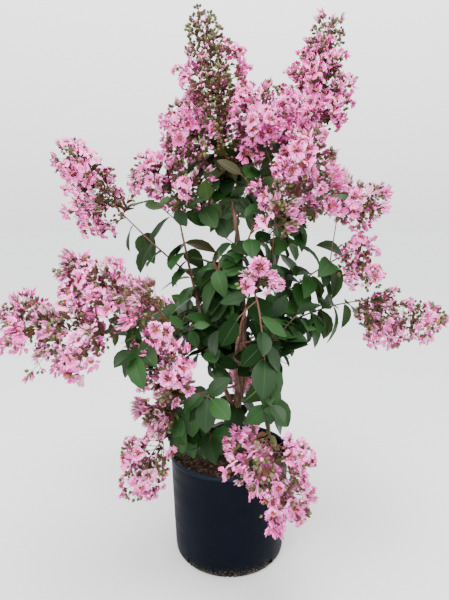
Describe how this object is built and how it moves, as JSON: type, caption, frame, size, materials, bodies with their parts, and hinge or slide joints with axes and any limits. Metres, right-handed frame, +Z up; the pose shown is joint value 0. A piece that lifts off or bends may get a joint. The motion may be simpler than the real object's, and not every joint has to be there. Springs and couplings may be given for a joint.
{
  "type": "potted crape myrtle",
  "caption": "Flowering shrub in a round nursery pot: a leaning trunk with forked stems, boughs, drooping leafy twigs and cone-shaped panicles of pink blossom.",
  "frame": {"origin": "middle of the pot's flat underside, which stands on the floor", "axes": "+Z up along the plant, -Y towards the plant's front, +X to its right as seen from the front"},
  "size_m": [0.8956, 0.6487, 1.1928],
  "materials": {
    "pot": "blue-black plastic, satin, scuffed and dusty",
    "compost": "rough dark brown bark compost",
    "bark": "pinkish brown bark, smooth, peeling in strips",
    "leaves": "dark green leaves, a little glossy above and paler beneath",
    "blossom": "soft pink crinkled petals with orange centres, and olive buds"
  },
  "bodies": {
    "root": {"pot": "pot", "compost": "compost", "trunk": "bark", "stem_right": "bark", "stem_left": "bark", "stem_front": "bark", "stem_back": "bark", "left_high_bough": "bark", "right_far_bough": "bark", "left_far_bough": "bark", "right_high_bough": "bark", "left_low_bough": "bark", "front_left_bough": "bark", "back_left_bough": "bark", "back_right_bough": "bark", "crown_leaves": "leaves", "crown_right_leaves": "leaves", "crown_left_leaves": "leaves", "back_top_leaves": "leaves", "front_droop_leaves": "leaves", "left_high_leaves": "leaves", "right_far_leaves": "leaves", "left_far_leaves": "leaves", "right_high_leaves": "leaves", "left_low_leaves": "leaves", "front_left_leaves": "leaves", "back_left_leaves": "leaves", "back_right_leaves": "leaves", "right_elbow_leaves": "leaves", "back_low_leaves": "leaves", "heart_front_leaves": "leaves", "heart_low_leaves": "leaves", "heart_right_leaves": "leaves", "heart_left_leaves": "leaves", "heart_middle_leaves": "leaves", "heart_high_leaves": "leaves", "heart_back_leaves": "leaves", "crown_panicle": "blossom", "crown_right_panicle": "blossom", "crown_left_panicle": "blossom", "back_top_panicle": "blossom", "front_droop_panicle": "blossom", "left_high_panicle": "blossom", "right_far_panicle": "blossom", "left_far_panicle": "blossom", "right_high_panicle": "blossom", "left_low_panicle": "blossom", "front_left_panicle": "blossom", "back_left_panicle": "blossom", "back_right_panicle": "blossom", "right_elbow_panicle": "blossom", "back_low_panicle": "blossom", "crown_shoulder_panicle": "blossom", "crown_middle_panicle": "blossom", "right_outer_panicle": "blossom", "left_upper_panicle": "blossom", "left_inner_panicle": "blossom", "front_small_panicle": "blossom", "front_high_panicle": "blossom", "left_small_panicle": "blossom"}
  },
  "joints": []
}
